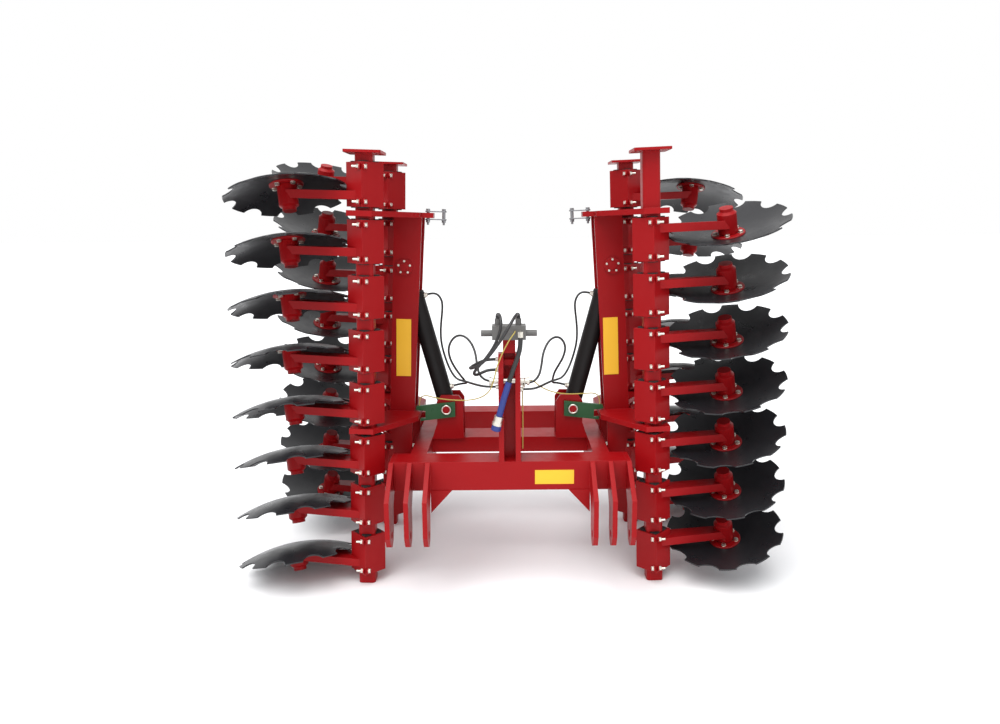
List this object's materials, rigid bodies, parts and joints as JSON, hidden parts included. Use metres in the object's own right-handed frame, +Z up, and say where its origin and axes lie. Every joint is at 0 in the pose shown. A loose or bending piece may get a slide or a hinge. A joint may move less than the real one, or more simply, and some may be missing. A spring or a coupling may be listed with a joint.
{
  "type": "disc harrow",
  "caption": "Mounted folding disc harrow parked with both wings folded up: notched dished discs on rubber sprung arms, centre frame with three point hitch and fold cylinders.",
  "frame": {"origin": "on the floor under the middle of the parked machine's bounding box", "axes": "+Z up, +Y to the rear away from the tractor, +X to the right of someone who stands in front of the hitch"},
  "size_m": [2.682, 1.3076, 2.0757],
  "materials": {
    "cylinder_black": "satin",
    "disc_steel": "satin",
    "latch_green": "satin",
    "red_paint": "gloss",
    "rod_chrome": "polished",
    "rubber": "matte",
    "valve_grey": "cast",
    "zinc": "zinc plated"
  },
  "bodies": {
    "root": {"centre_frame": "red_paint", "hitch_plates": "red_paint", "headstock": "red_paint", "cylinder_brackets": "red_paint", "pins": "zinc", "latches": "latch_green", "valve_block": "valve_grey"},
    "wing_left": {"beams_left": "red_paint", "frame_left": "red_paint", "arms_front_left": "red_paint", "arms_rear_left": "red_paint", "rubbers_left": "rubber"},
    "barrel_left": {"barrel_left": "cylinder_black"},
    "rod_left": {"rod_left": "rod_chrome"},
    "disc_front_left_1": {"disc_front_left_1": "disc_steel"},
    "disc_front_left_2": {"disc_front_left_2": "disc_steel"},
    "disc_front_left_3": {"disc_front_left_3": "disc_steel"},
    "disc_front_left_4": {"disc_front_left_4": "disc_steel"},
    "disc_front_left_5": {"disc_front_left_5": "disc_steel"},
    "disc_front_left_6": {"disc_front_left_6": "disc_steel"},
    "disc_front_left_7": {"disc_front_left_7": "disc_steel"},
    "disc_front_left_8": {"disc_front_left_8": "disc_steel"},
    "disc_rear_left_1": {"disc_rear_left_1": "disc_steel"},
    "disc_rear_left_2": {"disc_rear_left_2": "disc_steel"},
    "disc_rear_left_3": {"disc_rear_left_3": "disc_steel"},
    "disc_rear_left_4": {"disc_rear_left_4": "disc_steel"},
    "disc_rear_left_5": {"disc_rear_left_5": "disc_steel"},
    "disc_rear_left_6": {"disc_rear_left_6": "disc_steel"},
    "disc_rear_left_7": {"disc_rear_left_7": "disc_steel"},
    "disc_rear_left_8": {"disc_rear_left_8": "disc_steel"},
    "wing_right": {"beams_right": "red_paint", "frame_right": "red_paint", "arms_front_right": "red_paint", "arms_rear_right": "red_paint", "rubbers_right": "rubber"},
    "barrel_right": {"barrel_right": "cylinder_black"},
    "rod_right": {"rod_right": "rod_chrome"},
    "disc_front_right_1": {"disc_front_right_1": "disc_steel"},
    "disc_front_right_2": {"disc_front_right_2": "disc_steel"},
    "disc_front_right_3": {"disc_front_right_3": "disc_steel"},
    "disc_front_right_4": {"disc_front_right_4": "disc_steel"},
    "disc_front_right_5": {"disc_front_right_5": "disc_steel"},
    "disc_front_right_6": {"disc_front_right_6": "disc_steel"},
    "disc_front_right_7": {"disc_front_right_7": "disc_steel"},
    "disc_rear_right_1": {"disc_rear_right_1": "disc_steel"},
    "disc_rear_right_2": {"disc_rear_right_2": "disc_steel"},
    "disc_rear_right_3": {"disc_rear_right_3": "disc_steel"},
    "disc_rear_right_4": {"disc_rear_right_4": "disc_steel"},
    "disc_rear_right_5": {"disc_rear_right_5": "disc_steel"},
    "disc_rear_right_6": {"disc_rear_right_6": "disc_steel"},
    "disc_rear_right_7": {"disc_rear_right_7": "disc_steel"},
    "disc_rear_right_8": {"disc_rear_right_8": "disc_steel"}
  },
  "joints": [
    {"name": "fold_left", "type": "hinge", "parent": "root", "child": "wing_left", "pos_m": [-0.535, 0, 0.515], "axis": [0, -1, 0], "range_deg": [0, 92.14]},
    {"name": "cylinder_turn_left", "type": "hinge", "parent": "root", "child": "barrel_left", "pos_m": [-0.325, 0, 0.795], "axis": [0, -1, 0], "range_deg": [0, 89.14]},
    {"name": "rod_slide_left", "type": "slide", "parent": "barrel_left", "child": "rod_left", "axis": [-0.2528, 0, 0.9675], "range_m": [0, 0.502]},
    {"name": "spin_front_left_1", "type": "hinge", "parent": "wing_left", "child": "disc_front_left_1", "pos_m": [-1.07064, -0.3278, 0.17063], "axis": [0.1382, -0.2714, -0.9525], "continuous": true},
    {"name": "spin_front_left_2", "type": "hinge", "parent": "wing_left", "child": "disc_front_left_2", "pos_m": [-1.0613, -0.3278, 0.42045], "axis": [0.1382, -0.2714, -0.9525], "continuous": true},
    {"name": "spin_front_left_3", "type": "hinge", "parent": "wing_left", "child": "disc_front_left_3", "pos_m": [-1.05197, -0.3278, 0.67028], "axis": [0.1382, -0.2714, -0.9525], "continuous": true},
    {"name": "spin_front_left_4", "type": "hinge", "parent": "wing_left", "child": "disc_front_left_4", "pos_m": [-1.04263, -0.3278, 0.9201], "axis": [0.1382, -0.2714, -0.9525], "continuous": true},
    {"name": "spin_front_left_5", "type": "hinge", "parent": "wing_left", "child": "disc_front_left_5", "pos_m": [-1.0333, -0.3278, 1.16993], "axis": [0.1382, -0.2714, -0.9525], "continuous": true},
    {"name": "spin_front_left_6", "type": "hinge", "parent": "wing_left", "child": "disc_front_left_6", "pos_m": [-1.02396, -0.3278, 1.41976], "axis": [0.1382, -0.2714, -0.9525], "continuous": true},
    {"name": "spin_front_left_7", "type": "hinge", "parent": "wing_left", "child": "disc_front_left_7", "pos_m": [-1.01463, -0.3278, 1.66958], "axis": [0.1382, -0.2714, -0.9525], "continuous": true},
    {"name": "spin_front_left_8", "type": "hinge", "parent": "wing_left", "child": "disc_front_left_8", "pos_m": [-1.00529, -0.3278, 1.91941], "axis": [0.1382, -0.2714, -0.9525], "continuous": true},
    {"name": "spin_rear_left_1", "type": "hinge", "parent": "wing_left", "child": "disc_rear_left_1", "pos_m": [-1.07064, 0.3992, 0.17063], "axis": [0.2089, -0.2715, 0.9395], "continuous": true},
    {"name": "spin_rear_left_2", "type": "hinge", "parent": "wing_left", "child": "disc_rear_left_2", "pos_m": [-1.0613, 0.3992, 0.42045], "axis": [0.2089, -0.2715, 0.9395], "continuous": true},
    {"name": "spin_rear_left_3", "type": "hinge", "parent": "wing_left", "child": "disc_rear_left_3", "pos_m": [-1.05197, 0.3992, 0.67028], "axis": [0.2089, -0.2715, 0.9395], "continuous": true},
    {"name": "spin_rear_left_4", "type": "hinge", "parent": "wing_left", "child": "disc_rear_left_4", "pos_m": [-1.04263, 0.3992, 0.9201], "axis": [0.2089, -0.2715, 0.9395], "continuous": true},
    {"name": "spin_rear_left_5", "type": "hinge", "parent": "wing_left", "child": "disc_rear_left_5", "pos_m": [-1.0333, 0.3992, 1.16993], "axis": [0.2089, -0.2715, 0.9395], "continuous": true},
    {"name": "spin_rear_left_6", "type": "hinge", "parent": "wing_left", "child": "disc_rear_left_6", "pos_m": [-1.02396, 0.3992, 1.41976], "axis": [0.2089, -0.2715, 0.9395], "continuous": true},
    {"name": "spin_rear_left_7", "type": "hinge", "parent": "wing_left", "child": "disc_rear_left_7", "pos_m": [-1.01463, 0.3992, 1.66958], "axis": [0.2089, -0.2715, 0.9395], "continuous": true},
    {"name": "spin_rear_left_8", "type": "hinge", "parent": "wing_left", "child": "disc_rear_left_8", "pos_m": [-1.00529, 0.3992, 1.91941], "axis": [0.2089, -0.2715, 0.9395], "continuous": true},
    {"name": "fold_right", "type": "hinge", "parent": "root", "child": "wing_right", "pos_m": [0.535, 0, 0.515], "axis": [0, 1, 0], "range_deg": [0, 92.14]},
    {"name": "cylinder_turn_right", "type": "hinge", "parent": "root", "child": "barrel_right", "pos_m": [0.325, 0, 0.795], "axis": [0, 1, 0], "range_deg": [0, 89.14]},
    {"name": "rod_slide_right", "type": "slide", "parent": "barrel_right", "child": "rod_right", "axis": [0.2528, 0, 0.9675], "range_m": [0, 0.502]},
    {"name": "spin_front_right_1", "type": "hinge", "parent": "wing_right", "child": "disc_front_right_1", "pos_m": [1.07064, -0.3278, 0.17063], "axis": [-0.2089, -0.2715, 0.9395], "continuous": true},
    {"name": "spin_front_right_2", "type": "hinge", "parent": "wing_right", "child": "disc_front_right_2", "pos_m": [1.0613, -0.3278, 0.42045], "axis": [-0.2089, -0.2715, 0.9395], "continuous": true},
    {"name": "spin_front_right_3", "type": "hinge", "parent": "wing_right", "child": "disc_front_right_3", "pos_m": [1.05197, -0.3278, 0.67028], "axis": [-0.2089, -0.2715, 0.9395], "continuous": true},
    {"name": "spin_front_right_4", "type": "hinge", "parent": "wing_right", "child": "disc_front_right_4", "pos_m": [1.04263, -0.3278, 0.9201], "axis": [-0.2089, -0.2715, 0.9395], "continuous": true},
    {"name": "spin_front_right_5", "type": "hinge", "parent": "wing_right", "child": "disc_front_right_5", "pos_m": [1.0333, -0.3278, 1.16993], "axis": [-0.2089, -0.2715, 0.9395], "continuous": true},
    {"name": "spin_front_right_6", "type": "hinge", "parent": "wing_right", "child": "disc_front_right_6", "pos_m": [1.02396, -0.3278, 1.41976], "axis": [-0.2089, -0.2715, 0.9395], "continuous": true},
    {"name": "spin_front_right_7", "type": "hinge", "parent": "wing_right", "child": "disc_front_right_7", "pos_m": [1.01463, -0.3278, 1.66958], "axis": [-0.2089, -0.2715, 0.9395], "continuous": true},
    {"name": "spin_rear_right_1", "type": "hinge", "parent": "wing_right", "child": "disc_rear_right_1", "pos_m": [1.07064, 0.3992, 0.17063], "axis": [-0.1382, -0.2714, -0.9525], "continuous": true},
    {"name": "spin_rear_right_2", "type": "hinge", "parent": "wing_right", "child": "disc_rear_right_2", "pos_m": [1.0613, 0.3992, 0.42045], "axis": [-0.1382, -0.2714, -0.9525], "continuous": true},
    {"name": "spin_rear_right_3", "type": "hinge", "parent": "wing_right", "child": "disc_rear_right_3", "pos_m": [1.05197, 0.3992, 0.67028], "axis": [-0.1382, -0.2714, -0.9525], "continuous": true},
    {"name": "spin_rear_right_4", "type": "hinge", "parent": "wing_right", "child": "disc_rear_right_4", "pos_m": [1.04263, 0.3992, 0.9201], "axis": [-0.1382, -0.2714, -0.9525], "continuous": true},
    {"name": "spin_rear_right_5", "type": "hinge", "parent": "wing_right", "child": "disc_rear_right_5", "pos_m": [1.0333, 0.3992, 1.16993], "axis": [-0.1382, -0.2714, -0.9525], "continuous": true},
    {"name": "spin_rear_right_6", "type": "hinge", "parent": "wing_right", "child": "disc_rear_right_6", "pos_m": [1.02396, 0.3992, 1.41976], "axis": [-0.1382, -0.2714, -0.9525], "continuous": true},
    {"name": "spin_rear_right_7", "type": "hinge", "parent": "wing_right", "child": "disc_rear_right_7", "pos_m": [1.01463, 0.3992, 1.66958], "axis": [-0.1382, -0.2714, -0.9525], "continuous": true},
    {"name": "spin_rear_right_8", "type": "hinge", "parent": "wing_right", "child": "disc_rear_right_8", "pos_m": [1.00529, 0.3992, 1.91941], "axis": [-0.1382, -0.2714, -0.9525], "continuous": true}
  ],
  "couplings": [
    {"joint": "cylinder_turn_left", "follows": "fold_left", "ratio": 0.96693},
    {"joint": "rod_slide_left", "follows": "fold_left", "m_per_rad": 0.31184},
    {"joint": "cylinder_turn_right", "follows": "fold_right", "ratio": 0.96693},
    {"joint": "rod_slide_right", "follows": "fold_right", "m_per_rad": 0.31184}
  ]
}
